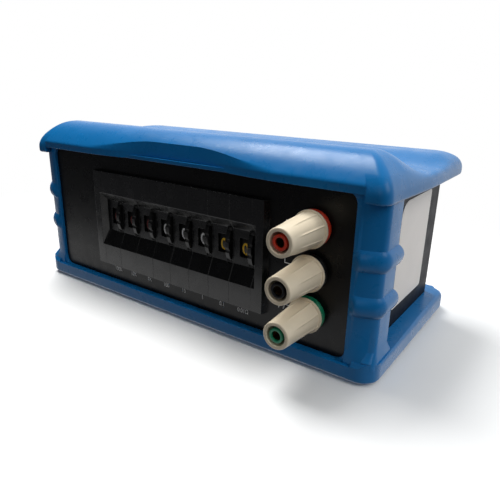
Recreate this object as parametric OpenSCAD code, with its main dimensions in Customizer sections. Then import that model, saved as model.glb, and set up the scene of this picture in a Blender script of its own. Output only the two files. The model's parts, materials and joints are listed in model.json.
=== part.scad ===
// Bench decade resistance box: a blue moulded case with a bank of eight thumbwheels and three terminals.
// X runs across the front, Y runs back, Z runs up. Inside the modules Y = 0 is the front of the panel and
// Z = 0 is the underside of the base cover; place() moves that to the middle of the whole outline.

/* [Top cover] */
// Width of the top cover
cover_w = 222; // [220.4:0.2:226]
// How far the top cover stands in front of the panel
cover_front = 4.8; // [4.4:0.1:6]
// How far the top cover reaches behind the panel
cover_rear = 96.5; // [95:0.5:99]
// Corner radius of the top cover seen from above
cover_r = 11; // [8:0.5:14]
// Height of the lower edge of the top cover
skirt_z = 75.6; // [75:0.1:76]
// Height of the crease between the side walls and the roof
crease_z = 82; // [81.5:0.1:83]
// Height of the bulge along the front
bulge_z = 93.4; // [90:0.2:97]
// Height of the valley behind the bulge
valley_z = 82.9; // [82.6:0.1:85]
// Height of the rise along the rear
tail_z = 86.4; // [84:0.2:90]
// Width of the band in which the roof rolls up from the crease, at the front
roll_w = 17; // [14:0.5:20]
// Width of that band at the rear
tail_roll_w = 11; // [8:0.5:16]
// How far the middle of the front edge curves back
dip = 4.9; // [4:0.1:6]
// Half width of that curve
dip_w = 62; // [50:1:75]
// Wall thickness of the moulded covers
wall = 2.6; // [2.2:0.1:3]

/* [Base cover] */
// Width of the base cover
base_w = 219.4; // [218:0.2:221]
// How far the base cover reaches behind the panel
base_rear = 100; // [98:0.5:104]
// Corner radius of the base cover seen from above
base_r = 8.5; // [6:0.5:11]
// Height of the base cover
base_h = 9.2; // [9:0.1:9.6]
// Radius along its lower edge
base_edge_r = 1.8; // [1.2:0.1:2.4]
// Height of the feet below the base cover
foot_h = 1; // [0.6:0.1:2]
// Radius of a foot
foot_r = 6; // [4:0.5:8]

/* [Bezel] */
// Width of the opening in the bezel
open_w = 190.7; // [188:0.1:192]
// Lower edge of the opening
open_z0 = 7; // [6.6:0.1:7.4]
// Upper edge of the opening
open_z1 = 78.7; // [78:0.1:79]
// Corner radius of the opening
open_r = 5.5; // [3:0.5:8]
// Half width of the corner columns
column_x = 108.2; // [107.6:0.1:108.4]
// Bevel along the corner of a column
corner_cut = 1.2; // [0.8:0.1:1.6]
// How far the columns reach back along the sides
column_y = 15.5; // [12:0.5:20]
// Top of the flared foot of a column
toe_z = 12; // [11:0.2:14]
// How far that foot flares out
toe_out = 1.2; // [0.8:0.1:1.2]
// Height of a rib on the columns
rib_h = 9; // [7:0.2:10]
// How far a rib stands out
rib_out = 2; // [1.2:0.1:2.4]
// Centre height of the lower rib
rib_low_z = 33.1; // [30:0.1:36]
// Centre height of the upper rib
rib_high_z = 52.4; // [49:0.1:56]

/* [Inner case] */
// Width of the black inner case
case_w = 202; // [201:0.2:203]
// Rear face of the inner case
case_rear = 90; // [86:0.5:92]
// Underside of the inner case
case_z0 = 6; // [6:0.1:6.4]
// Top of the inner case
case_z1 = 79; // [78.5:0.1:79]
// Sheet thickness of the inner case and panels
sheet = 2; // [1.5:0.1:2.2]

/* [Thumbwheels] */
// Distance between neighbouring decades
pitch = 12.7; // [12.7:0.1:12.8]
// Middle of the bank, from the middle of the case
bank_x = -2.35; // [-4:0.05:0]
// Height of the wheel axles
axle_z = 45; // [44:0.1:46]
// Distance of the wheel axles behind the panel
axle_y = 14.8; // [14.6:0.1:15.2]
// Radius of the finger rim of a wheel
rim_r = 16.5; // [16:0.1:16.7]
// Radius of the digit drum of a wheel
drum_r = 13; // [12.5:0.1:13.1]
// Number of finger notches round the rim
notches = 20; // [10:10:30]
// Radius of a wheel's axle
axle_r = 1.6; // [1.4:0.1:2]
// Running clearance between an axle and its wheel
axle_gap = 0.05; // [0.03:0.01:0.08]

/* [Terminals] */
// Distance of the terminals from the middle of the case
post_x = 77.15; // [75:0.05:79]
// Height of the lowest terminal
post_z = 23.55; // [22.5:0.05:25]
// Distance between neighbouring terminals
post_pitch = 19.05; // [19:0.05:19.3]
// Distance from the panel to the front of a cap
cap_front = 26.5; // [26:0.1:28]
// Radius of a cap at its front
cap_r = 5.85; // [5.6:0.05:6.1]
// Radius of a cap beside its flange
cap_root_r = 7.2; // [6.9:0.1:7.4]
// Radius of a cap's flange
flange_r = 8.1; // [7.7:0.1:8.5]
// Radius of the socket for a plug
socket_r = 2; // [1.9:0.05:2.1]
// Depth of the socket
socket_l = 17; // [14:0.5:18]
// Radius of a stud
stud_r = 3; // [2.9:0.05:3.2]
// Running clearance between a stud and its cap
stud_gap = 0.05; // [0.03:0.01:0.08]

/* [Hidden] */
$fn = 64;
eps = 0.1;
// Long enough to cut right through
through = 200;
decades = 8;
posts = ["red", "black", "green"];

// Colours
blue = [0.06, 0.32, 0.6];
black = [0.06, 0.06, 0.065];
cream = [0.85, 0.8, 0.7];
brass = [0.78, 0.62, 0.3];
steel = [0.7, 0.7, 0.72];
green = [0.05, 0.45, 0.3];
red = [0.7, 0.1, 0.06];
white = [0.92, 0.92, 0.9];
post_colours = [red, black, green];

// Places
panel_y = (cap_front - base_rear) / 2;
half_w = cover_w / 2;
mid_y = (cover_rear - cover_front) / 2;
half_d = (cover_rear + cover_front) / 2;
case_half = case_w / 2;
ring_y = -1.6;
fit_gap = 0.15;
brow_half = 99.5;
ring_half = brow_half - fit_gap;
column_in = open_w / 2 + 0.3;
base_front = -4;
lip_z0 = 5;
lip_z1 = 80.6;
skirt_share = 0.7;
dip_spread = 1.25;
fall_ys = [14, 42];
rise_ys = [54, 76];
narrow_ys = [40, 80];
screw_x = 88;
screw_ys = [14, 82];
screw_r = 1.5;
screw_gap = 0.2;
head_z = 1.8;
foot_x = 66;
foot_ys = [9, 86];
foot_in = 0.6;

// The bank's front: a flat face, a slope down to the floor of the window, and a slope up again
bank_front = -3;
bank_z0 = 16.9;
bank_z1 = 69.8;
body_z0 = 24;
body_z1 = 66;
body_rear = 36;
floor_y = 0.7;
window_z0 = 28.3;
window_z1 = 58;
floor_z0 = 36.4;
floor_z1 = 53.6;
module_wall = 1.2;
module_skin = 1.4;
end_w = 7.35;
end_wall = 2.85;
end_slope = 1.85;
bank_half = decades * pitch / 2;
rod_y = 32.5;
rod_zs = [27.2, 62.8];
rod_r = 1.2;

// Across a decade, from its own middle
half_pitch = pitch / 2;
drum_u = [-3.2, 2.6];
rim_u = [3, 5.2];
slot_u = [2.8, 5.45];
digit_u = -2.8;
digit_h = 9;
board_u = -half_pitch + module_wall;
board_t = 1.2;
board_h = 30;
wiper_t = 0.35;
board_rear = 44;

// Along a terminal, forward from the panel
collar_l = 3;
collar_r = 7.8;
cap_rear = 3.1;
flange_l = 1.2;
sleeve_front = cap_front - 0.3;
sleeve_back = 17;
sleeve_r = 3.15;
tip_r = 2.55;
stud_front = sleeve_front - 1;
stud_rear = 14;
tag_t = 0.6;
tag_rear = -2 * sheet - tag_t;

function decade_x(k) = bank_x + (k - (decades + 1) / 2) * pitch;
function post_height(i) = post_z + (2 - i) * post_pitch;

// Roof of the top cover: the height follows the depth, and rolls up from the crease around the edge
function ease(t) = t <= 0 ? 0 : t >= 1 ? 1 : t * t * (3 - 2 * t);
function between(y, ys) = ease((y - ys[0]) / (ys[1] - ys[0]));
function spine(y) = bulge_z - (bulge_z - valley_z) * between(y, fall_ys)
    + (tail_z - valley_z) * between(y, rise_ys);
function roll_at(y) = roll_w + (tail_roll_w - roll_w) * between(y, narrow_ys);
function rolled(d, w) = 1 - pow(1 - min(d / w, 1), 2);
function roof(y, d) = crease_z + (spine(y) - crease_z) * rolled(d, roll_at(y));
function dip_at(x) = dip * ease(dip_spread * (1 - abs(x) / dip_w));

module place() {
    translate([0, panel_y, foot_h]) children();
}

// Rings of points run round the cover, each farther in than the last; e holds the direction of a point
function ring_r(d) = cover_r - (cover_r - 1) * d / roll_w;
function ring_x(e, d) = e[0] * (half_w - d - ring_r(d)) + e[2] * ring_r(d);
function ring_y_at(e, d) = mid_y + e[1] * (half_d - d - ring_r(d)) + e[3] * ring_r(d);
function front_dip(e, d) = e[3] == -1 ? dip_at(ring_x(e, d)) * (1 - d / roll_w) : 0;
function roof_point(e, d) =
    let (x = ring_x(e, d), shift = front_dip(e, d), y = ring_y_at(e, d) + shift)
    [x, y, roof(y, d + shift)];
function skirt_point(e) = [ring_x(e, 0), ring_y_at(e, 0) + skirt_share * front_dip(e, 0), skirt_z];

// Triangles from a middle point to each edge of a loop
function fan(middle, loop) = [for (i = [0:len(loop) - 1]) [middle, loop[i], loop[(i + 1) % len(loop)]]];

// The cover as one closed skin over its underside
module cover_solid() {
    nc = 6;
    ns = 17;
    nf = 27;
    rolls = 8;
    crowd = 1.4;
    past = 0.6;
    edge = concat(
        [for (k = [0:nc]) [1, -1, cos(90 * k / nc - 90), sin(90 * k / nc - 90)]],
        [for (k = [1:ns]) [1, 2 * k / (ns + 1) - 1, 1, 0]],
        [for (k = [0:nc]) [1, 1, cos(90 * k / nc), sin(90 * k / nc)]],
        [for (k = [0:nc]) [-1, 1, cos(90 * k / nc + 90), sin(90 * k / nc + 90)]],
        [for (k = [1:ns]) [-1, 1 - 2 * k / (ns + 1), -1, 0]],
        [for (k = [0:nc]) [-1, -1, cos(90 * k / nc + 180), sin(90 * k / nc + 180)]],
        [for (k = [1:nf]) [2 * k / (nf + 1) - 1, -1, 0, -1]]);
    n = len(edge);
    insets = [for (j = [0:rolls]) roll_w * pow(j / rolls, crowd)];
    last = (rolls + 1) * n;
    end_in = roll_w + past;
    middles = [[0, mid_y, skirt_z], [0, end_in - cover_front, bulge_z], [0, cover_rear - end_in, tail_z]];
    skin = [for (d = insets) for (e = edge) roof_point(e, d)];
    points = concat([for (e = edge) skirt_point(e)], skin, middles);
    band = [for (j = [0:rolls]) for (i = [0:n - 1])
        let (a = j * n + i, b = j * n + (i + 1) % n)
        for (t = [[a, a + n, b], [b, a + n, b + n]]) t];
    right = last + nc;
    left = last + 3 * nc + 2 * ns + 3;
    strips = [for (k = [0:ns]) for (t = [[right + k, left - k, left - k - 1],
        [right + k, left - k - 1, right + k + 1]]) t];
    front_end = concat([for (i = [right:-1:last]) i], [for (i = [last + n - 1:-1:left]) i]);
    rear_end = [for (i = [left - ns - 1:-1:right + ns + 1]) i];
    spare = last + n;
    polyhedron(points, concat(band, strips, fan(spare, [for (i = [0:n - 1]) i]),
        fan(spare + 1, front_end), fan(spare + 2, rear_end)));
}

// Box from its two corners
module span(low, high) {
    translate(low) cube(high - low);
}

module top_cover() {
    under = 60;
    pocket = case_half + fit_gap;
    pocket_z = lip_z1 + fit_gap;
    ledge_t = 2.4;
    ledge_y = 3;
    step = 0.4;
    bulge_ys = [8, 24];
    bulge_half = half_w - roll_w + 2;
    tail_ys = [68, 89];
    tail_half = half_w - tail_roll_w;
    boss_r = 3.6;
    hole_l = 3.6;
    color(blue) place() {
        difference() {
            cover_solid();
            span([-pocket, ring_y - fit_gap, under], [pocket, case_rear + fit_gap, pocket_z]);
            span([-brow_half, -cover_front - 1, under], [brow_half, 0, open_z1]);
            span([-half_w + wall, ledge_y, skirt_z + ledge_t], [half_w - wall, case_rear, pocket_z - step]);
            span([-bulge_half, bulge_ys[0], under], [bulge_half, bulge_ys[1], spine(bulge_ys[1]) - wall]);
            span([-tail_half, tail_ys[0], under], [tail_half, tail_ys[1], spine(tail_ys[0]) - wall]);
        }
        for (sx = [-1, 1], y = screw_ys) translate([sx * screw_x, y, case_z1]) difference() {
            cylinder(r = boss_r, h = spine(y) - wall / 2 - case_z1);
            translate([0, 0, -eps]) cylinder(r = screw_r, h = hole_l + eps);
        }
    }
}

// Tray outline with a rounded lower edge
module tray(half, front, rear, r, f, h) {
    module profile() {
        translate([0, f]) square([r, h - f]);
        square([r - f, h]);
        translate([r - f, f]) circle(f);
    }
    w = half - r;
    for (sx = [-1, 1], y = [front + r, rear - r]) translate([sx * w, y]) rotate_extrude() intersection() {
        profile();
        square([r, h]);
    }
    for (side = [0, 1]) mirror([side, 0, 0]) translate([w, front + r, 0])
        rotate([90, 0, 180]) mirror([1, 0, 0]) linear_extrude(rear - front - 2 * r) profile();
    translate([-w, front + r, 0]) rotate([90, 0, 90]) mirror([1, 0, 0]) linear_extrude(2 * w) profile();
    translate([-w, rear - r, 0]) rotate([90, 0, 90]) linear_extrude(2 * w) profile();
    translate([-w, front + r, 0]) cube([2 * w, rear - front - 2 * r, h]);
}

// Hollow that slopes the front of the base cover back in the middle
module base_scoop() {
    radius = 330;
    lean = 20;
    scoop_z = 0.2;
    scoop_h = 60;
    translate([0, base_front - radius / cos(lean), scoop_z]) rotate([-lean, 0, 0])
        cylinder(r = radius, h = scoop_h, center = true, $fn = 256);
}

// Bevel along the top of the base cover's front, up to the feet of the columns
module front_bevel() {
    bevel_z = 7.2;
    reach = 10;
    half = base_w / 2;
    lean = atan((base_h - bevel_z) / (ring_y - toe_out - base_front));
    translate([0, base_front, bevel_z]) rotate([lean, 0, 0]) span([-half, 0, 0], [half, reach, reach]);
}

module base_cover() {
    half = base_w / 2;
    pocket = case_half + fit_gap;
    floor_t = 2.5;
    ledge_t = 2.4;
    hollow_y = 0.3;
    head_r = 3.2;
    boss_r = 5;
    color(blue) place() {
        difference() {
            tray(half, base_front, base_rear, base_r, base_edge_r, base_h);
            base_scoop();
            front_bevel();
            span([-brow_half, base_front - 1, open_z0 - eps], [brow_half, 0, through]);
            span([-pocket, ring_y - fit_gap, lip_z0 - fit_gap], [pocket, case_rear + fit_gap, through]);
            span([-half + wall, hollow_y, floor_t], [half - wall, base_rear - wall, base_h - ledge_t]);
            for (sx = [-1, 1], y = screw_ys) translate([sx * screw_x, y, -eps]) {
                cylinder(r = head_r, h = head_z + eps);
                cylinder(r = screw_r + screw_gap, h = through);
            }
            for (sx = [-1, 1], y = foot_ys) translate([sx * foot_x, y, -eps])
                cylinder(r = foot_r, h = foot_in + eps);
        }
        for (sx = [-1, 1], y = screw_ys) translate([sx * screw_x, y, floor_t - eps]) difference() {
            cylinder(r = boss_r, h = case_z0 - floor_t + eps);
            translate([0, 0, -eps]) cylinder(r = screw_r + screw_gap, h = through);
        }
    }
}

module opening() {
    w = open_w / 2 - open_r;
    mid = (open_z0 + open_z1) / 2;
    h = (open_z1 - open_z0) / 2 - open_r;
    translate([0, mid]) {
        square([2 * w + 2 * open_r, 2 * h], center = true);
        square([2 * w, 2 * h + 2 * open_r], center = true);
        for (sx = [-1, 1], sz = [-1, 1]) translate([sx * w, sz * h]) circle(open_r);
    }
}

// Outline round the corner at a height: the front, a bevel at the corner, then the side
function corner_outline(z, out, bevel) =
    let (spare = 1)
    [[column_x + out - bevel, ring_y - out, z], [column_x + out, ring_y - out + bevel, z],
     [column_x + out, column_y + out, z], [case_half - spare, column_y + out, z]];

// Outline of a column, whose ribs fade out towards the opening
function column_outline(z, out) =
    let (spare = 1, fade = 2.5, soften = 1.3)
    concat([[column_in, spare, z], [column_in, ring_y, z], [column_in + fade, ring_y - out, z]],
        corner_outline(z, out, corner_cut + soften * out));

// Outline of its flared foot
function toe_outline(z, out, bevel) =
    let (spare = 1)
    concat([[brow_half, spare, z], [brow_half, ring_y - out, z]], corner_outline(z, out, bevel));

// Levels of a column, with the rounded ribs standing out of it
function rib_level(t) =
    let (r = (rib_h * rib_h / 4 + rib_out * rib_out) / (2 * rib_out), h = t * rib_h / 2)
    [h, sqrt(r * r - h * h) - r + rib_out];
function column_levels() =
    let (steps = 5)
    concat([[base_h, 0]],
        [for (z = [rib_low_z, rib_high_z], i = [-steps:steps])
            let (level = rib_level(i / steps)) [z + level[0], level[1]]],
        [[skirt_z, 0]]);

// Solid through outlines one above the other; the side after point number bent is made of triangles
module loft(rings, bent) {
    n = len(rings[0]);
    top = (len(rings) - 1) * n;
    sides = [for (j = [0:len(rings) - 2]) for (i = [0:n - 1])
        let (a = j * n + i, b = j * n + (i + 1) % n)
        for (side = i == bent ? [[a, a + n, b], [b, a + n, b + n]] : [[a, a + n, b + n, b]]) side];
    polyhedron([for (ring = rings) for (p = ring) p],
        concat(sides, [[for (i = [0:n - 1]) i]], [[for (i = [n - 1:-1:0]) top + i]]));
}

module column() {
    toe_cut = 4.8;
    tuck = 0.1;
    difference() {
        union() {
            loft([for (level = column_levels()) column_outline(level[0], level[1])], 1);
            loft([toe_outline(base_h, toe_out, toe_cut), toe_outline(toe_z, -tuck, corner_cut)], -1);
        }
        span([0, 0, 0], [case_half, through, through]);
    }
}

module front_bezel() {
    color(blue) place() {
        difference() {
            span([-ring_half, ring_y, lip_z0], [ring_half, 0, lip_z1]);
            translate([0, eps, 0]) rotate([90, 0, 0]) linear_extrude(-ring_y + 2 * eps) opening();
        }
        for (side = [0, 1]) mirror([side, 0, 0]) column();
    }
}

module inner_case() {
    inner = case_half - sheet;
    color(black) place() difference() {
        span([-case_half, sheet, case_z0], [case_half, case_rear, case_z1]);
        span([-inner, sheet - eps, case_z0 + sheet], [inner, case_rear + eps, case_z1 - sheet]);
        for (sx = [-1, 1], y = screw_ys) translate([sx * screw_x, y, 0])
            cylinder(r = screw_r + screw_gap, h = through);
    }
}

module front_panel() {
    cut = 0.2;
    cut_half = bank_half + end_wall + cut;
    hole_r = 4.05;
    color(black) place() difference() {
        span([-case_half, 0, case_z0], [case_half, sheet, case_z1]);
        span([bank_x - cut_half, -eps, body_z0 - cut], [bank_x + cut_half, sheet + eps, body_z1 + cut]);
        for (i = [0:2]) translate([post_x, -eps, post_height(i)]) rotate([-90, 0, 0])
            cylinder(r = hole_r, h = sheet + 2 * eps);
    }
}

module rear_panel() {
    back = 2;
    inner = case_half - sheet;
    rear = case_rear - back;
    color(black) place() span([-inner, rear - sheet, case_z0 + sheet], [inner, rear, case_z1 - sheet]);
}

module case_screws() {
    head_r = 2.8;
    head_h = 1.6;
    bite = 3;
    slot = [4.4, 0.8, 0.8 + eps];
    color(steel) place() for (sx = [-1, 1], y = screw_ys)
        translate([sx * screw_x, y, head_z - head_h]) difference() {
            union() {
                cylinder(r = head_r, h = head_h);
                cylinder(r = screw_r, h = case_z1 + bite - head_z + head_h);
            }
            for (turn = [0, 90]) rotate([0, 0, turn])
                translate([-slot[0] / 2, -slot[1] / 2, -eps]) cube(slot);
        }
}

module feet() {
    color(black) place() for (sx = [-1, 1], y = foot_ys) translate([sx * foot_x, y, -foot_h])
        cylinder(r = foot_r, h = foot_h + foot_in);
}

module side_label() {
    label = [0.15, 33, 51];
    label_y = 42;
    label_z = 18;
    color(white) place() translate([case_half, label_y, label_z]) cube(label);
}

// Front-to-back section of the bank, with the sloped window
module bank_section() {
    polygon([[bank_front, bank_z0], [bank_front, window_z0], [floor_y, floor_z0], [floor_y, floor_z1],
             [bank_front, window_z1], [bank_front, bank_z1], [0, bank_z1], [0, body_z1], [body_rear, body_z1],
             [body_rear, body_z0], [0, body_z0], [0, bank_z0]]);
}

module bank_cavity() {
    front_skin = 1.6;
    back_skin = 0.8;
    front = bank_front + front_skin;
    back = floor_y + back_skin;
    low_skin = 0.6;
    high_skin = 1;
    floor_skin = 0.4;
    low = body_z0 + module_skin;
    high = body_z1 - module_skin;
    rear = body_rear - module_skin;
    polygon([[front, low], [front, window_z0 - low_skin], [back, floor_z0 - floor_skin],
             [back, floor_z1 + floor_skin], [front, window_z1 + high_skin], [front, high],
             [rear, high], [rear, low]]);
}

// Extrudes a section drawn in depth and height across the width
module across(u0, u1) {
    translate([u0, 0, 0]) rotate([90, 0, 90]) linear_extrude(u1 - u0) children();
}

module at_axle(u0) {
    translate([u0, axle_y, axle_z]) rotate([0, 90, 0]) children();
}

module housing(k) {
    slit = 0.05;
    rim_room = 0.5;
    floor_cut = 2;
    color(black) place() translate([decade_x(k), 0, 0]) {
        difference() {
            across(-half_pitch, half_pitch) bank_section();
            across(board_u, half_pitch + eps) bank_cavity();
            at_axle(slot_u[0]) cylinder(r = rim_r + rim_room, h = slot_u[1] - slot_u[0]);
            span([digit_u, floor_y - floor_cut, axle_z - digit_h / 2],
                 [slot_u[0] + eps, floor_y + floor_cut, axle_z + digit_h / 2]);
            span([board_u, body_rear - module_skin - eps, axle_z - board_h / 2 - slit],
                 [board_u + board_t + slit, body_rear + eps, axle_z + board_h / 2 + slit]);
            for (z = rod_zs) translate([-half_pitch - eps, rod_y, z]) rotate([0, 90, 0])
                cylinder(r = rod_r, h = module_wall + 2 * eps);
        }
        at_axle(board_u - eps) cylinder(r = axle_r, h = half_pitch - board_u + eps);
    }
}

module wheel(k) {
    notch_r = 0.9;
    notch_out = 0.2;
    hub_r = 4;
    drum_wall = 1.5;
    cup_l = 4;
    color(black) place() translate([decade_x(k), 0, 0]) difference() {
        union() {
            at_axle(rim_u[0]) cylinder(r = rim_r, h = rim_u[1] - rim_u[0]);
            at_axle(drum_u[0]) cylinder(r = drum_r, h = rim_u[0] - drum_u[0]);
        }
        at_axle(drum_u[0] - eps) cylinder(r = axle_r + axle_gap, h = through);
        at_axle(drum_u[0] - eps) difference() {
            cylinder(r = drum_r - drum_wall, h = cup_l);
            translate([0, 0, -eps]) cylinder(r = hub_r, h = through);
        }
        for (n = [0:notches - 1]) at_axle(rim_u[0] + eps) rotate([0, 0, (n + 0.5) * 360 / notches])
            translate([rim_r + notch_out, 0, 0]) cylinder(r = notch_r, h = through, $fn = 24);
    }
}

module wiper(k) {
    hub_r = 3.8;
    hub_gap = 0.3;
    arm_w = 3;
    arm_l = 9;
    color(brass) place() translate([decade_x(k), 0, 0]) at_axle(drum_u[0] - wiper_t) difference() {
        union() {
            cylinder(r = hub_r, h = wiper_t);
            translate([-arm_w / 2, 0, 0]) cube([arm_w, arm_l, wiper_t]);
        }
        translate([0, 0, -eps]) cylinder(r = axle_r + hub_gap, h = through);
    }
}

module bank_end(side) {
    far = 5;
    taper = 1.35;
    color(black) place() translate([bank_x, 0, 0]) mirror([side, 0, 0]) difference() {
        union() {
            translate([bank_half, 0, bank_z0]) linear_extrude(bank_z1 - bank_z0)
                polygon([[0, bank_front], [end_w - taper, bank_front], [end_w, 0], [0, 0]]);
            span([bank_half, -eps, body_z0], [bank_half + end_wall, body_rear, body_z1]);
        }
        intersection() {
            translate([bank_half, 0, 0]) linear_extrude(through)
                polygon([[-far, bank_front], [end_slope, bank_front], [0, floor_y], [-far, floor_y]]);
            across(bank_half - eps, bank_half + end_w) polygon([[bank_front, window_z0], [floor_y, floor_z0],
                [floor_y, floor_z1], [bank_front, window_z1]]);
        }
        for (z = rod_zs) translate([bank_half - eps, rod_y, z]) rotate([0, 90, 0])
            cylinder(r = rod_r, h = through);
    }
}

module bank_end_left() {
    bank_end(1);
}

module bank_end_right() {
    bank_end(0);
}

module tie_rods() {
    nut_r = 2.5;
    nut_h = 2;
    tip = 1;
    half = bank_half + end_wall;
    color(steel) place() for (z = rod_zs) translate([bank_x, rod_y, z]) rotate([0, 90, 0]) {
        cylinder(r = rod_r, h = 2 * (half + nut_h + tip), center = true);
        for (side = [0, 1]) mirror([0, 0, side]) translate([0, 0, half])
            cylinder(r = nut_r, h = nut_h, $fn = 6);
    }
}

module decade_boards() {
    front = 4;
    hole_gap = 0.6;
    color(green) place() for (k = [1:decades]) translate([decade_x(k), 0, 0]) difference() {
        translate([board_u, front, axle_z - board_h / 2]) cube([board_t, board_rear - front, board_h]);
        at_axle(board_u - eps) cylinder(r = axle_r + hole_gap, h = board_t + 2 * eps);
    }
}

module resistors() {
    body_r = 1.1;
    body_l = 5.5;
    body_y = body_rear + 1;
    count = 4;
    step = 6;
    color(cream) place() for (k = [1:decades], n = [0:count - 1])
        translate([decade_x(k) + board_u + board_t + body_r, body_y, axle_z + (n - (count - 1) / 2) * step])
            rotate([-90, 0, 0]) cylinder(r = body_r, h = body_l);
}

module detent_springs() {
    leaf = 0.4;
    leaf_h = 14;
    gap = 0.25;
    front = axle_y + rim_r + gap;
    rear = body_rear - module_skin;
    width = rim_u[1] - rim_u[0];
    color(brass) place() for (k = [1:decades]) translate([decade_x(k) + rim_u[0], front, axle_z]) {
        translate([0, 0, -leaf_h / 2]) cube([width, leaf, leaf_h]);
        translate([0, 0, leaf_h / 2 - leaf]) cube([width, rear - front, leaf]);
    }
}

// A terminal's own axis: Z runs forward out of the panel
module at_post(i) {
    place() translate([post_x, 0, post_height(i)]) rotate([90, 0, 0]) children();
}

module stud(i) {
    hole_r = 1;
    hole_y = 5.6;
    color(brass) at_post(i) difference() {
        union() {
            translate([0, 0, -stud_rear]) cylinder(r = stud_r, h = sleeve_back + stud_rear);
            cylinder(r = tip_r, h = stud_front);
        }
        translate([0, 0, stud_front - socket_l]) cylinder(r = socket_r, h = socket_l + eps);
        translate([0, 0, hole_y]) rotate([0, 90, 0])
            cylinder(r = hole_r, h = through, center = true, $fn = 32);
    }
}

module collar(i) {
    neck_r = 4;
    color(post_colours[i]) at_post(i) difference() {
        union() {
            cylinder(r = collar_r, h = collar_l);
            translate([0, 0, -sheet]) cylinder(r = neck_r, h = sheet + eps);
        }
        cylinder(r = stud_r, h = through, center = true);
    }
}

module sleeve(i) {
    color(post_colours[i]) at_post(i) difference() {
        translate([0, 0, sleeve_back]) cylinder(r = sleeve_r, h = sleeve_front - sleeve_back);
        translate([0, 0, sleeve_back - eps]) cylinder(r = tip_r, h = stud_front - sleeve_back + eps);
        cylinder(r = socket_r, h = through);
    }
}

module washer(i) {
    washer_r = 5.7;
    washer_t = 1.5;
    play = 0.05;
    color(brass) at_post(i) translate([0, 0, cap_rear + play]) difference() {
        cylinder(r = washer_r, h = washer_t);
        translate([0, 0, -eps]) cylinder(r = stud_r + stud_gap, h = washer_t + 2 * eps);
    }
}

// Hollow screw cap: the section is turned about the terminal's axis, and ribs run along the outside
module cap(i) {
    bore_r = 4.2;
    recess_r = 6;
    thread_r = stud_r + stud_gap;
    thread_ys = [5, 12.5];
    flange_front = cap_rear + flange_l;
    ribs = 8;
    rib_r = 0.55;
    rib_in = 0.25;
    rib_l = cap_front - flange_front - 6;
    lean = atan((cap_root_r - cap_r) / (cap_front - flange_front));
    color(cream) at_post(i) {
        rotate_extrude() polygon([
            [recess_r, cap_rear], [flange_r, cap_rear], [flange_r, flange_front], [cap_root_r, flange_front],
            [cap_r, cap_front], [bore_r, cap_front], [bore_r, thread_ys[1]], [thread_r, thread_ys[1]],
            [thread_r, thread_ys[0]], [recess_r, thread_ys[0]]]);
        for (n = [0:ribs - 1]) rotate([0, 0, (n + 0.5) * 360 / ribs])
            translate([cap_root_r - rib_in, 0, flange_front - eps]) rotate([0, -lean, 0])
                cylinder(r = rib_r, h = rib_l, $fn = 24);
    }
}

module rear_insulators() {
    insulator_r = 6;
    for (i = [0:2]) color(black) at_post(i) translate([0, 0, -2 * sheet]) difference() {
        cylinder(r = insulator_r, h = sheet);
        translate([0, 0, -eps]) cylinder(r = stud_r, h = sheet + 2 * eps);
    }
}

module solder_tags() {
    eye_r = 4.6;
    tail_l = 11;
    tail_w = 3;
    for (i = [0:2]) color(steel) at_post(i) translate([0, 0, tag_rear]) difference() {
        union() {
            cylinder(r = eye_r, h = tag_t);
            translate([-tail_l, -tail_w / 2, 0]) cube([tail_l, tail_w, tag_t]);
        }
        translate([0, 0, -eps]) cylinder(r = stud_r, h = tag_t + 2 * eps);
    }
}

module post_nuts() {
    nut_r = 5;
    nut_h = 3;
    for (i = [0:2]) color(steel) at_post(i) translate([0, 0, tag_rear - nut_h]) difference() {
        cylinder(r = nut_r, h = nut_h, $fn = 6);
        translate([0, 0, -eps]) cylinder(r = stud_r, h = nut_h + 2 * eps);
    }
}

// Round wire through a list of points, with a ball at each bend
module wire(points, r) {
    for (i = [0:len(points) - 2]) {
        d = points[i + 1] - points[i];
        translate(points[i]) rotate([0, acos(d[2] / norm(d)), atan2(d[1], d[0])])
            cylinder(r = r, h = norm(d), $fn = 24);
    }
    for (i = [1:len(points) - 2]) translate(points[i]) sphere(r, $fn = 24);
}

module wiring() {
    r = 0.6;
    tag_x = post_x - 10;
    run_y = board_rear + 4;
    low_run_y = board_rear + 2;
    end_y = board_rear - 1;
    link_y = board_rear - 2;
    earth_y = 20;
    board_x = board_u + board_t;
    first = decade_x(1) + board_x + r;
    last = decade_x(decades) + board_x + r;
    high_z = axle_z + 12;
    link_z = axle_z - 12;
    color(red) place() {
        wire([[tag_x, -tag_rear, post_height(0)], [tag_x, run_y, post_height(0)],
              [first, run_y, post_height(0)],
              [first, run_y, high_z], [first, end_y, high_z]], r);
        wire([[tag_x, -tag_rear, post_height(1)], [tag_x, low_run_y, post_height(1)],
              [last, low_run_y, post_height(1)], [last, end_y, post_height(1)]], r);
        wire([[tag_x, -tag_rear, post_height(2)], [tag_x, earth_y, post_height(2)],
              [tag_x, earth_y, case_z0 + sheet]], r);
        for (k = [1:decades - 1]) wire([[decade_x(k) + board_x, link_y, link_z],
            [decade_x(k + 1) + board_u, link_y, link_z]], r);
    }
}

top_cover();
base_cover();
front_bezel();
inner_case();
front_panel();
rear_panel();
case_screws();
feet();
side_label();
bank_end_left();
bank_end_right();
tie_rods();
decade_boards();
resistors();
detent_springs();
rear_insulators();
solder_tags();
post_nuts();
wiring();
for (k = [1:decades]) housing(k);
for (k = [1:decades]) wheel(k);
for (k = [1:decades]) wiper(k);
for (i = [0:2]) stud(i);
for (i = [0:2]) collar(i);
for (i = [0:2]) sleeve(i);
for (i = [0:2]) washer(i);
for (i = [0:2]) cap(i);
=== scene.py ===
"""Looks of a bench decade resistance box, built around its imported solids.

Lengths are millimetres from the panel's front (y) and from the underside of the base cover (z),
until at() turns them into metres in the object's frame.
"""

import json
import math

import bmesh
import bpy
from mathutils import Matrix, Vector


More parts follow.
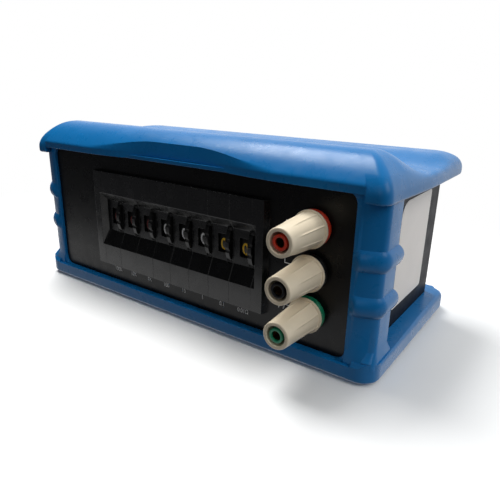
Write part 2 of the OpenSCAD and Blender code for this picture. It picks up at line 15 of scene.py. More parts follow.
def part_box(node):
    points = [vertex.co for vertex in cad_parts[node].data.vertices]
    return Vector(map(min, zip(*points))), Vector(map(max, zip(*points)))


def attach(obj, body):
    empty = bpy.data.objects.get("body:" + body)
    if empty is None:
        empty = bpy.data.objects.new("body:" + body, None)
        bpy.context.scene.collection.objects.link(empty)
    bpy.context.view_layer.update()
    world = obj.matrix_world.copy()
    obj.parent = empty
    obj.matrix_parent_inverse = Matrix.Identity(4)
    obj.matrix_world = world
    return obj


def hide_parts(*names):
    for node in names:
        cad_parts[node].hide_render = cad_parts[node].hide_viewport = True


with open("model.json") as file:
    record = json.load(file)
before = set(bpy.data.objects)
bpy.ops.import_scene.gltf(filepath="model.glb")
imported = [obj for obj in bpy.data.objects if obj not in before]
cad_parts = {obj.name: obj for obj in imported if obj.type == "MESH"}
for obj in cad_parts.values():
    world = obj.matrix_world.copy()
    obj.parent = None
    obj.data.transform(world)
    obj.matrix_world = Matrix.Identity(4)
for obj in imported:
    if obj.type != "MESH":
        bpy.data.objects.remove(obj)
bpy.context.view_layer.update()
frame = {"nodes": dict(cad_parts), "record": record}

MM = 0.001
PANEL_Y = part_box("front_panel")[0].y
BASE_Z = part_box("base_cover")[0].z
DECADES = range(1, 9)
POSTS = ("red", "black", "green")


def at(x, y, z):
    """A point of the object's frame, in metres."""
    return Vector((x * MM, PANEL_Y + y * MM, BASE_Z + z * MM))


def middle(node):
    """The middle of a CAD node's box, in this script's millimetres."""
    low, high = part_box(node)
    point = (low + high) / 2
    return point.x / MM, (point.y - PANEL_Y) / MM, (point.z - BASE_Z) / MM


# Materials; sizes and depths of their detail in millimetres

PALE_GREY = 0.5
WORN_R = 0.5
WEAR_SIZE = 4
SHEEN_SIZE = 6
SHEEN_SPREAD = 0.06
LINE_SIZE = 1.5
LINE_DEPTH = 0.01


def linear(r, g, b):
    """A colour on screen, from 0 to 255, as the shader's own."""
    def channel(c):
        c /= 255
        return c / 12.92 if c <= 0.04045 else ((c + 0.055) / 1.055) ** 2.4
    return channel(r), channel(g), channel(b), 1.0


def shader(name):
    """A new material with its node tree and its shader."""
    made = bpy.data.materials.new(name)
    made.use_nodes = True
    return made, made.node_tree, made.node_tree.nodes["Principled BSDF"]


def noise(tree, size, detail=5, stretch=(1, 1, 1)):
    """Noise with features of about this size, in millimetres, stretched along the axes."""
    place = tree.nodes.new("ShaderNodeTexCoord")
    mapping = tree.nodes.new("ShaderNodeMapping")
    mapping.inputs["Scale"].default_value = stretch
    texture = tree.nodes.new("ShaderNodeTexNoise")
    texture.inputs["Scale"].default_value = 1 / (size * MM)
    texture.inputs["Detail"].default_value = detail
    tree.links.new(place.outputs["Object"], mapping.inputs["Vector"])
    tree.links.new(mapping.outputs["Vector"], texture.inputs["Vector"])
    return texture.outputs["Fac"]


def ranged(tree, factor, low, high, start=0.3, end=0.7):
    """A factor spread over a range of values."""
    node = tree.nodes.new("ShaderNodeMapRange")
    node.inputs["From Min"].default_value = start
    node.inputs["From Max"].default_value = end
    node.inputs["To Min"].default_value = low
    node.inputs["To Max"].default_value = high
    tree.links.new(factor, node.inputs["Value"])
    return node.outputs["Result"]


def maths(tree, operation, *values):
    """A sum, product or the like of numbers and sockets."""
    node = tree.nodes.new("ShaderNodeMath")
    node.operation = operation
    for socket, value in zip(node.inputs, values):
        if isinstance(value, (int, float)):
            socket.default_value = value
        else:
            tree.links.new(value, socket)
    return node.outputs["Value"]


def mixed(tree, factor, a, b):
    """Two colours, or colour sockets, mixed by a factor."""
    node = tree.nodes.new("ShaderNodeMix")
    node.data_type = "RGBA"
    tree.links.new(factor, node.inputs["Factor"])
    for value, name in ((a, "A"), (b, "B")):
        socket = [s for s in node.inputs if s.name == name and s.type == "RGBA"][0]
        if isinstance(value, tuple):
            socket.default_value = value
        else:
            tree.links.new(value, socket)
    return [s for s in node.outputs if s.type == "RGBA"][0]


def shade(colour, amount):
    """A colour made lighter or darker."""
    return tuple(min(1.0, c * amount) for c in colour[:3]) + (1.0,)


def edges_of(tree, radius):
    """A factor that is high along rounded and sharp edges."""
    bevel = tree.nodes.new("ShaderNodeBevel")
    bevel.samples = 4
    bevel.inputs["Radius"].default_value = radius * MM
    surface = tree.nodes.new("ShaderNodeNewGeometry")
    product = tree.nodes.new("ShaderNodeVectorMath")
    product.operation = "DOT_PRODUCT"
    tree.links.new(bevel.outputs["Normal"], product.inputs[0])
    tree.links.new(surface.outputs["Normal"], product.inputs[1])
    return ranged(tree, product.outputs["Value"], 1.0, 0.0, 0.75, 0.98)


def bumped(tree, target, factor, depth):
    """Relief of this depth, in millimetres, on a shader."""
    bump = tree.nodes.new("ShaderNodeBump")
    bump.inputs["Distance"].default_value = depth * MM
    tree.links.new(factor, bump.inputs["Height"])
    tree.links.new(bump.outputs["Normal"], target.inputs["Normal"])


def paler(colour):
    """The colour halfway to a pale grey."""
    return tuple((c + PALE_GREY) / 2 for c in colour[:3]) + (1.0,)


def moulded(name, colour, rough, grain=0.5, depth=0.02, cloud=25, shift=0.12, worn=0.0,
            gloss=0.5):
    """Moulded plastic or paint: fine grain, slightly uneven colour and gloss, paler worn edges."""
    made, tree, target = shader(name)
    target.inputs["Specular IOR Level"].default_value = gloss
    clouds = ranged(tree, noise(tree, cloud), 0, 1)
    body = mixed(tree, clouds, shade(colour, 1 - shift), shade(colour, 1 + shift))
    if worn:
        wear = ranged(tree, noise(tree, WEAR_SIZE), 0, worn)
        worn_edges = maths(tree, "MULTIPLY", edges_of(tree, WORN_R), wear)
        body = mixed(tree, worn_edges, body, paler(colour))
    tree.links.new(body, target.inputs["Base Color"])
    sheen = ranged(tree, noise(tree, SHEEN_SIZE), rough - SHEEN_SPREAD, rough + SHEEN_SPREAD)
    tree.links.new(sheen, target.inputs["Roughness"])
    bumped(tree, target, noise(tree, grain, 2), depth)
    return made


def metal(name, colour, rough, stretch):
    """Bare metal with fine lines across the way it was turned or drawn."""
    made, tree, target = shader(name)
    lines = noise(tree, LINE_SIZE, 6, stretch)
    body = mixed(tree, lines, shade(colour, 0.75), shade(colour, 1.1))
    tree.links.new(body, target.inputs["Base Color"])
    tree.links.new(ranged(tree, lines, rough - 0.08, rough + 0.1), target.inputs["Roughness"])
    target.inputs["Metallic"].default_value = 1.0
    bumped(tree, target, lines, LINE_DEPTH)
    return made


def post_plastic(name, colour, **more):
    """The moulded plastic of a terminal's coloured pieces."""
    return moulded(name, colour, 0.32, grain=0.4, depth=0.006, cloud=6, **more)


def ink(name, colour):
    """Matt printing ink."""
    return moulded(name, colour, 0.5, grain=0.15, depth=0.002, cloud=1.5)


LOOKS = {
    "blue_shell": moulded("blue_shell", linear(17, 110, 173), 0.3, grain=1.1, depth=0.005,
                          shift=0.05, worn=0.06, gloss=0.2),
    "case_black": moulded("case_black", linear(16, 19, 27), 0.42, grain=0.6, depth=0.01,
                          gloss=0.06),
    "panel_black": moulded("panel_black", linear(10, 10, 11), 0.3, grain=0.25, depth=0.004,
                           gloss=0.2),
    "bank_black": moulded("bank_black", linear(11, 11, 12), 0.26, grain=0.3, depth=0.004,
                          worn=0.15, gloss=0.45),
    "wheel_black": moulded("wheel_black", linear(9, 9, 10), 0.4, grain=0.3, depth=0.01, gloss=0.4),
    "foot_rubber": moulded("foot_rubber", linear(24, 24, 24), 0.8, grain=0.8, depth=0.04),
    "label_white": moulded("label_white", linear(243, 237, 231), 0.45, grain=1.2, depth=0.006,
                           cloud=12, shift=0.03),
    "steel": metal("steel", linear(190, 190, 194), 0.32, (1, 8, 8)),
    "brass": metal("brass", linear(205, 168, 96), 0.3, (8, 1, 8)),
    "board_green": moulded("board_green", linear(28, 92, 62), 0.5, grain=0.7, depth=0.02),
    "resistor_cream": moulded("resistor_cream", linear(206, 190, 160), 0.4, grain=0.4, depth=0.01),
    "wire_red": moulded("wire_red", linear(176, 34, 26), 0.45, grain=0.4, depth=0.01),
    "cap_cream": moulded("cap_cream", linear(234, 219, 192), 0.34, grain=0.4, depth=0.006,
                         cloud=9, shift=0.04),
    "post_red": post_plastic("post_red", linear(214, 58, 30)),
    "post_black": post_plastic("post_black", linear(12, 12, 13), gloss=0.25),
    "post_green": post_plastic("post_green", linear(22, 140, 100)),
}
PRINTS = {
    "white_print": ink("white_print", linear(246, 246, 243)),
    "yellow_print": ink("yellow_print", linear(240, 190, 44)),
    "red_print": ink("red_print", linear(92, 26, 22)),
}
SLOT_OF = {part["node"]: part["material_slot"] for part in frame["record"]["subparts"]}
BODIES = frame["record"]["behaviour"]["bodies"]
BODY_OF = {node: body for body, nodes in BODIES.items() for node in nodes}


# Meshes; points nearer than a weld, in millimetres, become one

BUILT_WELD = 0.0005
DRESSED_WELD = 0.001
FLAT_DEGREES = 0.5
RIM_R = 2.4
RIM_STEPS = 6


def finished(name, mesh, material, body, sharp):
    """An object from a mesh, smooth but for its sharp edges, that moves with a body."""
    mesh.shade_smooth()
    mesh.set_sharp_from_angle(angle=math.radians(sharp))
    mesh.materials.clear()
    mesh.materials.append(material)
    made = bpy.data.objects.new(name, mesh)
    bpy.context.scene.collection.objects.link(made)
    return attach(made, body)


def built(name, points, faces, material, body="case", sharp=30):
    """An object from points in this script's millimetres and the faces between them."""
    work = bmesh.new()
    corners = [work.verts.new(at(*p)) for p in points]
    for face in faces:
        work.faces.new([corners[i] for i in face])
    bmesh.ops.remove_doubles(work, verts=work.verts, dist=BUILT_WELD * MM)
    bmesh.ops.dissolve_degenerate(work, edges=work.edges, dist=BUILT_WELD * MM)
    bmesh.ops.recalc_face_normals(work, faces=work.faces)
    mesh = bpy.data.meshes.new(name)
    work.to_mesh(mesh)
    work.free()
    return finished(name, mesh, material, body, sharp)


def stands_for(made, node):
    """Lets a piece stand for a CAD node, whose own mesh is hidden."""
    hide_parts(node)
    return made


def dressed(node, width, steps=2, sharp=25, rim=None):
    """A copy of a CAD node with its edges rounded; rim tells which get a wide rounding."""
    def rounding(edges, radius, segments, clamp):
        bmesh.ops.bevel(work, geom=edges, offset=radius * MM, offset_type="OFFSET",
                        segments=segments, profile=0.5, affect="EDGES", clamp_overlap=clamp)

    work = bmesh.new()
    work.from_mesh(frame["nodes"][node].data)
    bmesh.ops.remove_doubles(work, verts=work.verts, dist=DRESSED_WELD * MM)
    bmesh.ops.dissolve_limit(work, angle_limit=math.radians(FLAT_DEGREES), verts=work.verts,
                             edges=work.edges)
    if rim:
        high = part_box(node)[1]
        wide = [e for e in work.edges if all(rim(v.co, high) for v in e.verts)]
        rounding(wide, RIM_R, RIM_STEPS, False)
    limit = math.radians(sharp)
    crisp = [e for e in work.edges if e.is_manifold and e.calc_face_angle() > limit]
    rounding(crisp, width, steps, True)
    mesh = bpy.data.meshes.new(node + "_dressed")
    work.to_mesh(mesh)
    work.free()
    look = LOOKS[SLOT_OF[node]]
    made = finished(node + "_dressed", mesh, look, BODY_OF[node], sharp + 10)
    flat = made.modifiers.new("flat_faces", "WEIGHTED_NORMAL")
    flat.keep_sharp = True
    return stands_for(made, node)


def curve(start, corner, end, steps=5):
    """Points of a curve from start to end that rounds off a corner."""
    points = []
    for k in range(steps + 1):
        t = k / steps
        points.append((1 - t) ** 2 * start + 2 * t * (1 - t) * corner + t * t * end)
    return points


def rounded(corners, steps=4):
    """A closed outline with its corners rounded; each corner is (across, up, radius)."""
    outline = []
    for i, (u, v, radius) in enumerate(corners):
        corner = Vector((u, v))
        back = Vector(corners[i - 1][:2]) - corner
        ahead = Vector(corners[(i + 1) % len(corners)][:2]) - corner
        start = corner + back.normalized() * min(radius, back.length / 2)
        end = corner + ahead.normalized() * min(radius, ahead.length / 2)
        outline += curve(start, corner, end, steps) if radius else [corner]
    return [(p.x, p.y) for p in outline]


def skin(rings):
    """Points and faces between closed rings of as many points each."""
    n = len(rings[0])
    faces = []
    for j in range(len(rings) - 1):
        for i in range(n):
            k = (i + 1) % n
            faces.append((j * n + i, j * n + k, (j + 1) * n + k, (j + 1) * n + i))
    return [p for ring in rings for p in ring], faces


# Top cover: a wall up from a rounded lower edge, a crease, and a roof that bulges, dips and rises

COVER_HALF = 111
COVER_FRONT = -4.8
COVER_REAR = 96.5
COVER_R = 4.5
COVER_REAR_R = 11
COVER_IN = 2.4
SKIRT_Z = 75.6
CREASE_Z = 82
BULGE_Z = 93.4
VALLEY_Z = 82.9
TAIL_Z = 86.4
ROLL_W = 17
TAIL_ROLL_W = 11
DIP = 4.9
DIP_W = 62
SKIRT_SHARE = 0.7
BROW_HALF = 99.5
BROW_Z = 78.7
BROW_STEP = 0.3
LIP_Z = 80.75
POCKET = (101.15, -1.75, 90.15)
POCKET_Z = 80.95
POCKET_WALL = 0.8
DIP_SPREAD = 1.25
# Where along the depth a change starts, and over what length it runs
BULGE_FALL = (14, 28)
TAIL_RISE = (54, 22)
ROLL_CHANGE = (40, 40)
WIDENING = (-5, 55)
BROW_OPENING = 1.2
# Rounding below the crease, rounding of the lower edge, and the roof's start in from the crease
BROW_EDGE = (0.7, 0.35, 0.9)
PLAIN_EDGE = (3.6, 1.3, 3.2)
ROLL_POWER = 1.2
NEAR_BROW = (-0.25, -0.01, 0.03, 0.3)


def ease(t):
    """A smooth step from 0 to 1."""
    t = min(max(t, 0), 1)
    return t * t * (3 - 2 * t)


def change(y, where):
    """How much of a change is done at a depth."""
    return ease((y - where[0]) / where[1])


def spine(y):
    """Height of the roof along the middle."""
    fallen = BULGE_Z - (BULGE_Z - VALLEY_Z) * change(y, BULGE_FALL)
    return fallen + (TAIL_Z - VALLEY_Z) * change(y, TAIL_RISE)


def roof(y, inset):
    """Height of the roof at a depth and a distance in from the crease."""
    roll = ROLL_W + (TAIL_ROLL_W - ROLL_W) * change(y, ROLL_CHANGE)
    return CREASE_Z + (spine(y) - CREASE_Z) * (1 - (1 - min(inset / roll, 1)) ** 2)


def dip_at(x):
    """How far the front curves back at a place across."""
    return DIP * ease(DIP_SPREAD * (1 - abs(x) / DIP_W))


def directions(corner, side, shares):
    """Places of a ring's points: shares of the half width and depth, and the way out of an arc."""
    def arc(sx, sy, start):
        turns = [math.radians(start + 90 * k / corner) for k in range(corner + 1)]
        return [(sx, sy, math.cos(a), math.sin(a)) for a in turns]
    steps = [2 * k / (side + 1) - 1 for k in range(1, side + 1)]
    return (arc(1, -1, -90) + [(1, t, 1, 0) for t in steps] + arc(1, 1, 0)
            + arc(-1, 1, 90) + [(-1, -t, -1, 0) for t in steps] + arc(-1, -1, 180)
            + [(t, -1, 0, -1) for t in shares])


def ring_point(way, inset):
    """A point of the cover's outline, this far in from its edge."""
    back = (way[1] + 1) / 2
    front_r, rear_r = (r - (r - 1) * inset / ROLL_W for r in (COVER_R, COVER_REAR_R))
    r = front_r + (rear_r - front_r) * back
    first, last = COVER_FRONT + inset + front_r, COVER_REAR - inset - rear_r
    y = first + (last - first) * back + way[3] * r
    return (way[0] * (COVER_HALF - inset - r) + way[2] * r) * narrowed(y), y


def narrowed(y):
    """Share of the full width at a depth: the cover widens a little towards the rear."""
    return 1 - COVER_IN / COVER_HALF * (1 - change(y, WIDENING))


def roof_point(way, inset):
    """A point of the roof, this far in from the crease."""
    x, y = ring_point(way, inset)
    shift = dip_at(x) * (1 - inset / ROLL_W) if way[3] == -1 else 0
    return Vector((x, y + shift, roof(y + shift, inset + shift)))


def cover_line(way, rolls=24):
    """The cover's skin at one place round it: from the pocket, under the edge and over the roof."""
    x, y = ring_point(way, 0)
    on_front = way[3] == -1
    dip = dip_at(x) if on_front else 0
    brow = on_front and abs(x) < BROW_HALF
    crease = Vector((x, y + dip, CREASE_Z))
    skirt = Vector((x, y + SKIRT_SHARE * dip, SKIRT_Z))
    foot_z = SKIRT_Z
    step = Vector((0, 0, 0))
    if brow:
        open_share = ease((skirt.y - POCKET[1] + BROW_OPENING) / BROW_OPENING)
        foot_z = BROW_Z + (LIP_Z - BROW_Z) * open_share
        step = Vector((0, BROW_STEP, 0))
    fall, lip, start_in = BROW_EDGE if brow else PLAIN_EDGE
    foot = skirt.lerp(crease, (foot_z - SKIRT_Z) / (CREASE_Z - SKIRT_Z)) + step
    up = crease + step - foot
    half, low_y, high_y = POCKET
    inner_y = min(max(y, low_y), high_y)
    if brow:
        inner_y = max(inner_y, foot.y + POCKET_WALL)
    inner = Vector((min(max(x, -half), half), inner_y, foot_z))
    ceiling = Vector((inner.x, inner.y, POCKET_Z))
    inward = (inner - foot).normalized()
    line = [ceiling, inner]
    line += curve(foot + inward * lip, foot, foot + up * (lip / up.z))
    line += curve(crease + step - up * (fall / up.z), crease, roof_point(way, start_in), 7)
    shares = [(j / rolls) ** ROLL_POWER for j in range(1, rolls + 1)]
    return line + [roof_point(way, start_in + (ROLL_W - start_in) * share) for share in shares]


def top_cover():
    """The hood; its counts are the points of each corner, side and front."""
    corner, side, front = 16, 80, 180
    edge = (COVER_HALF - COVER_R) * narrowed(COVER_FRONT)
    near_brow = [(BROW_HALF + gap) / edge for gap in NEAR_BROW]
    shares = sorted([2 * k / (front + 1) - 1 for k in range(1, front + 1)]
                    + near_brow + [-t for t in near_brow])
    ways = directions(corner, side, shares)
    n = len(ways)
    lines = [cover_line(way) for way in ways]
    points, faces = skin([[line[j] for line in lines] for j in range(len(lines[0]))])
    last = len(points) - n
    right = last + corner
    left = last + 3 * corner + 2 * side + 3
    faces += [(right + k, left - k, left - k - 1, right + k + 1) for k in range(side + 1)]
    faces.append([*range(right, last - 1, -1), *range(last + n - 1, left - 1, -1)])
    faces.append([*range(left - side - 1, right + side, -1)])
    faces.append([*range(n)])
    stands_for(built("hood", points, faces, LOOKS["blue_shell"], sharp=28), "top_cover")


# Front bezel: a flat ring round the panel, and a column at each corner that falls back from it

RING_Y = -1.6
RING_HALF = 97.2
RING_Z = (5, 80.6)
OPEN_HALF = 95.35
OPEN_Z = (7, 78.7)
OPEN_R = 5.5
COLUMN_IN = 95.65
COLUMN_Z = (6.5, 80)
COLUMN_BACK = 15.5
CASE_SIDE = 101.02
RIBS_Z = (33.1, 52.4)
RIB_H = 9
RIB_OUT = 2
RIB_RUN = 3.5
RIB_ROUNDER = 0.8
OPEN_SOFT = 0.5
STEM_CORNER = (107.5, 2.2)
STEM_R = 1.8
STEM_Z = 13.4
TOE_CORNER = (108.9, RING_Y - 0.6)
TOE_R = 4.5
TOE_Z = 10
TOE_OUT = 0.9
TOE_BACK = 1
COLUMN_REAR_R = 1
COLUMN_EDGE = 0.15


def column_outline(out, inner_y, corner, corner_r, back):
    """A column's outline at one height: along its front, round its corner and side, and behind."""
    def front_y(x):
        share = (x - COLUMN_IN) / (corner[0] - COLUMN_IN)
        return inner_y + (corner[1] - inner_y) * share ** 2 - out * ease((x - COLUMN_IN) / RIB_RUN)

    side = corner[0] + out
    turn = side - corner_r
    first, steps = COLUMN_IN + COLUMN_EDGE, 14
    across = [first + (turn - COLUMN_IN - COLUMN_EDGE) * k / steps for k in range(steps)]
    tip = Vector((side, front_y(side)))
    arc = curve(Vector((turn, front_y(turn))), tip, tip + Vector((0, corner_r)), 8)
    heel = Vector((side, back + out))
    rear = curve(heel - Vector((0, COLUMN_REAR_R)), heel, heel - Vector((COLUMN_REAR_R, 0)), 4)
    inside = [(CASE_SIDE, back + out), (CASE_SIDE, 0), (COLUMN_IN, 0),
              (COLUMN_IN, inner_y + COLUMN_EDGE)]
    return [(x, front_y(x)) for x in across] + [(p.x, p.y) for p in arc + rear] + inside


def column_levels():
    """Heights of a column and how far its ribs stand out there."""
    bow = (RIB_H ** 2 / 4 + RIB_OUT ** 2) / (2 * RIB_OUT)
    steps = 9
    levels = []
    for z in RIBS_Z:
        for k in range(-steps, steps + 1):
            h = k / steps * RIB_H / 2
            levels.append((z + h, math.sqrt(bow * bow - h * h) - bow + RIB_OUT))
    return levels + [(COLUMN_Z[1], 0)]


def front_bezel():
    """The ring with its opening and both columns, as one piece."""
    points, faces = [], []

    def add(part_points, part_faces):
        first = len(points)
        points.extend(part_points)
        faces.extend([[first + i for i in face] for face in part_faces])

    def outline(half, low, high, r, y):
        corners = rounded([(-half, low, r), (half, low, r), (half, high, r), (-half, high, r)], 8)
        return [(x, y, z) for x, z in corners]

    rings = [outline(RING_HALF, *RING_Z, 0.2, 0), outline(RING_HALF, *RING_Z, 0.2, RING_Y)]
    for share in range(5):
        turn = math.radians(90 * share / 4)
        grow = OPEN_SOFT * (1 - math.sin(turn))
        rings.append(outline(OPEN_HALF + grow, OPEN_Z[0] - grow, OPEN_Z[1] + grow, OPEN_R + grow,
                             RING_Y + OPEN_SOFT * (1 - math.cos(turn))))
    rings.append(outline(OPEN_HALF, *OPEN_Z, OPEN_R, 0))
    add(*skin(rings + rings[:1]))
    toe = (0, RING_Y - TOE_OUT, TOE_CORNER, TOE_R, COLUMN_BACK + TOE_BACK)
    stack = [(COLUMN_Z[0], toe), (TOE_Z, toe)]
    for z, out in [(STEM_Z, 0)] + column_levels():
        stack.append((z, (out, RING_Y, STEM_CORNER, STEM_R + RIB_ROUNDER * out, COLUMN_BACK)))
    for sign in (-1, 1):
        levels = [[(sign * x, y, z) for x, y in column_outline(*sizes)] for z, sizes in stack]
        n = len(levels[0])
        column_points, column_faces = skin(levels)
        last = len(column_points) - n
        add(column_points, column_faces + [[*range(n)], [*range(last, last + n)]])
    stands_for(built("bezel", points, faces, LOOKS["blue_shell"], sharp=38), "front_bezel")


# Terminals, turned about their own axes; distances run forward from the panel

CAP_RIBS = 8
CAP_RIB_H = 0.28
CAP_RIB_W = 0.32
CAP_RIB_END = 4
CAP_RIB_FADE = 5
CAP_REAR = 3.1
FLANGE_FRONT = 4.3
FLANGE_R = 8.1
CAP_FRONT = 26.5
CAP_R = 5.85
CAP_ROOT_R = 7.2
CAP_BORE_R = 4.2
CAP_SHOULDER = 12.5
STUD_BORE_R = 3.05
HOLLOW_R = 6
HOLLOW_FRONT = 5
# Corners of the turned sections: radius, distance and rounding
CAP = ((HOLLOW_R, CAP_REAR, 0.2), (FLANGE_R, CAP_REAR, 0.4), (FLANGE_R, FLANGE_FRONT, 0.45),
       (CAP_ROOT_R, FLANGE_FRONT, 0.25), (CAP_R, CAP_FRONT, 0.6), (CAP_BORE_R, CAP_FRONT, 0.4),
       (CAP_BORE_R, CAP_SHOULDER, 0), (STUD_BORE_R, CAP_SHOULDER, 0),
       (STUD_BORE_R, HOLLOW_FRONT, 0), (HOLLOW_R, HOLLOW_FRONT, 0.1))
COLLAR = ((3, -2, 0), (4, -2, 0.2), (4, 0, 0), (7.8, 0, 0.3), (7.8, 1.4, 0.3), (7.5, 1.5, 0.1),
          (7.5, 3, 0.5), (3, 3, 0))
SLEEVE = ((2.55, 17, 0), (3.15, 17, 0.15), (3.15, 26.2, 0.35), (2, 26.2, 0.35), (2, 25.2, 0),
          (2.55, 25.2, 0))


def turned(name, centre, section, material, body, segments=128, swell=None):
    """A closed section turned about a terminal's axis; swell adds to its radius."""
    x, z = centre
    rings = []
    for k in range(segments):
        turn = 2 * math.pi * k / segments
        ring = []
        for r, d in section:
            out = r + (swell(turn, r, d) if swell else 0)
            ring.append((x + out * math.cos(turn), -d, z + out * math.sin(turn)))
        rings.append(ring)
    points, faces = skin(rings + rings[:1])
    return built(name, points, faces, material, body)


def cap_rib(turn, r, d):
    """Height of the fine ribs along a cap's outside."""
    share = (d - FLANGE_FRONT) / (CAP_FRONT - FLANGE_FRONT)
    if not 0 <= share <= 1 or r < CAP_ROOT_R + (CAP_R - CAP_ROOT_R) * share - 0.3:
        return 0
    step = 2 * math.pi / CAP_RIBS
    away = abs((turn % step) - step / 2) * r
    fade = ease((CAP_FRONT - CAP_RIB_END - d) / CAP_RIB_FADE)
    return CAP_RIB_H * math.exp(-(away / CAP_RIB_W) ** 2) * fade


def cap_section():
    """A cap's section, with its long outer edge split so that the ribs along it can fade."""
    steps = 24
    section = rounded(CAP)
    split = max(range(len(section) - 1),
                key=lambda i: (section[i][0] > HOLLOW_R) * (section[i + 1][1] - section[i][1]))
    a, b = Vector(section[split]), Vector(section[split + 1])
    section[split + 1:split + 1] = [tuple(a.lerp(b, k / steps)) for k in range(1, steps)]
    return section


def terminal(colour):
    """The cap, collar and sleeve of a terminal, turned, and its stud and washer, dressed."""
    x, _, z = middle(colour + "_stud")
    centre = (x, z)
    cap = turned(colour + "_cap_moulding", centre, cap_section(), LOOKS["cap_cream"],
                 BODY_OF[colour + "_cap"], 256, cap_rib)
    stands_for(cap, colour + "_cap")
    for kind, corners in (("_collar", COLLAR), ("_sleeve", SLEEVE)):
        node = colour + kind
        made = turned(node + "_moulding", centre, rounded(corners), LOOKS["post_" + colour], "case")
        stands_for(made, node)
    dressed(colour + "_stud", 0.12)
    dressed(colour + "_washer", 0.15)


# Lettering and printed lines

LETTER_SLICES = 12
PRINT_Y = -0.04
PRINT_LAYER = 0.005
LEGENDS = ("100K", "10K", "1K", "100", "10", "1", "0.1", "0.01Ω")
LEGEND_Z = 13.9
LEGEND_H = 2.3
LEGEND_SQUEEZE = 0.85
BRACKET_X = (64.1, 68.5)
BRACKET_Z = (43.5, 62.5)
BAR_X = (62.3, 67.7)
BAR_Z = 23.9
TICKS_X = (62.6, 65, 67.4)
TICK_LEAN = 0.7
TICK_H = 2.2
DIGIT_H = 6.1
DIGIT_BOLD = 0.012
DIGIT_SQUEEZE = 0.86
DIGIT_SHIFT = -0.35
DIGIT_DROP = 0.93
DRUM_R = 13.04
DIGIT_INKS = ("red_print",) * 3 + ("white_print",) * 3 + ("yellow_print",) * 2


def lettering(text, height, bold=0.0):
    """Flat lettering as points across and up from its middle, in millimetres, and faces."""
    font = bpy.data.curves.new("lettering", "FONT")
    font.body = text
    font.offset = bold
    font.resolution_u = 8
    font.align_x = "CENTER"
    holder = bpy.data.objects.new("lettering", font)
    bpy.context.scene.collection.objects.link(holder)
    graph = bpy.context.evaluated_depsgraph_get()
    mesh = bpy.data.meshes.new_from_object(holder.evaluated_get(graph))
    work = bmesh.new()
    work.from_mesh(mesh)
    bpy.data.objects.remove(holder)
    bpy.data.meshes.remove(mesh)
    low = min(v.co.y for v in work.verts)
    high = max(v.co.y for v in work.verts)
    scale = height / (high - low)
    for v in work.verts:
        v.co = Vector((v.co.x, v.co.y - (low + high) / 2, 0)) * scale
    for k in range(1, LETTER_SLICES):
        everything = work.verts[:] + work.edges[:] + work.faces[:]
        bmesh.ops.bisect_plane(work, geom=everything, plane_no=(0, 1, 0),
                               plane_co=(0, height * (k / LETTER_SLICES - 0.5), 0))
    work.verts.index_update()
    points = [(v.co.x, v.co.y) for v in work.verts]
    faces = [[v.index for v in f.verts] for f in work.faces]
    work.free()
    return points, faces


def legends():
    """The value of a step, printed below each decade."""
    for k, text in zip(DECADES, LEGENDS):
        x = middle(f"housing_{k}")[0]
        flat, faces = lettering(text, LEGEND_H)
        points = [(x + LEGEND_SQUEEZE * u, PRINT_Y, LEGEND_Z + v) for u, v in flat]
        built(f"legend_{k}", points, faces, PRINTS["white_print"])


def printed_line(name, stops, width=0.4):
    """Straight printed strokes between stops, across and up on the panel."""
    points, faces = [], []
    for a, b in zip(stops, stops[1:]):
        a, b = Vector(a), Vector(b)
        along = (b - a).normalized() * width / 2
        side = Vector((-along.y, along.x))
        first = len(points)
        corners = (a - along - side, b + along - side, b + along + side, a - along + side)
        points += [(p.x, PRINT_Y - PRINT_LAYER * len(faces), p.y) for p in corners]
        faces.append((first, first + 1, first + 2, first + 3))
    built(name, points, faces, PRINTS["white_print"])


def terminal_marks():
    """A bracket that joins the red and black terminals, and a chassis sign at the green one."""
    (left, right), (low, high) = BRACKET_X, BRACKET_Z
    printed_line("bracket_print", [(right, high), (left, high), (left, low), (right, low)])
    printed_line("chassis_bar_print", [(x, BAR_Z) for x in BAR_X])
    for n, x in enumerate(TICKS_X):
        printed_line(f"chassis_tick_{n}_print", [(x, BAR_Z), (x - TICK_LEAN, BAR_Z - TICK_H)])


def digits():
    """Ten digits round the drum of each wheel; they turn with it."""
    shapes = [lettering(str(n), DIGIT_H, DIGIT_BOLD) for n in range(10)]
    step = math.radians(360 / len(shapes))
    for k, print_name in zip(DECADES, DIGIT_INKS):
        _, y, z = middle(f"wheel_{k}")
        x = middle(f"housing_{k}")[0] + DIGIT_SHIFT
        points, faces = [], []
        for n, (flat, sides) in enumerate(shapes):
            first = len(points)
            for u, v in flat:
                turn = step * n + (v - DIGIT_DROP) / DRUM_R
                points.append((x + DIGIT_SQUEEZE * u, y - DRUM_R * math.cos(turn),
                               z + DRUM_R * math.sin(turn)))
            faces += [[first + i for i in side] for side in sides]
        made = built(f"digits_{k}", points, faces, PRINTS[print_name], f"decade_{k}")


LABEL_FRONT = 7
LABEL_REAR = 1
LABEL_R = 2
LABEL_CUT = 8


def side_label():
    """Blank film on the right side of the case, with rounded corners."""
    low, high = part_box("side_label")
    y0, y1 = (low.y - PANEL_Y) / MM - LABEL_FRONT, (high.y - PANEL_Y) / MM + LABEL_REAR
    z0, z1 = ((v.z - BASE_Z) / MM for v in (low, high))
    outline = rounded([(y0, z0, LABEL_R), (y1, z0, LABEL_R), (y1, z1, LABEL_R),
                       (y0, z1, LABEL_CUT)], 6)
    points, faces = skin([[(v.x / MM, y, z) for y, z in outline] for v in (low, high)])
    n = len(outline)
    faces += [[*range(n)], [*range(n, 2 * n)]]
    stands_for(built("label_film", points, faces, LOOKS["label_white"]), "side_label")


# The rest keeps its CAD shape, with rounded edges where they show

NEAR = 0.05
TRAY_CORNER = 9
TRAY_CORNER_X = 103
BANK_FOLD = 12
# Rounding of a node's edges, in millimetres
EDGES = {"inner_case": 0.5, "front_panel": 0.15, "rear_panel": 0.3, "feet": 0.4,
         "case_screws": 0.15}


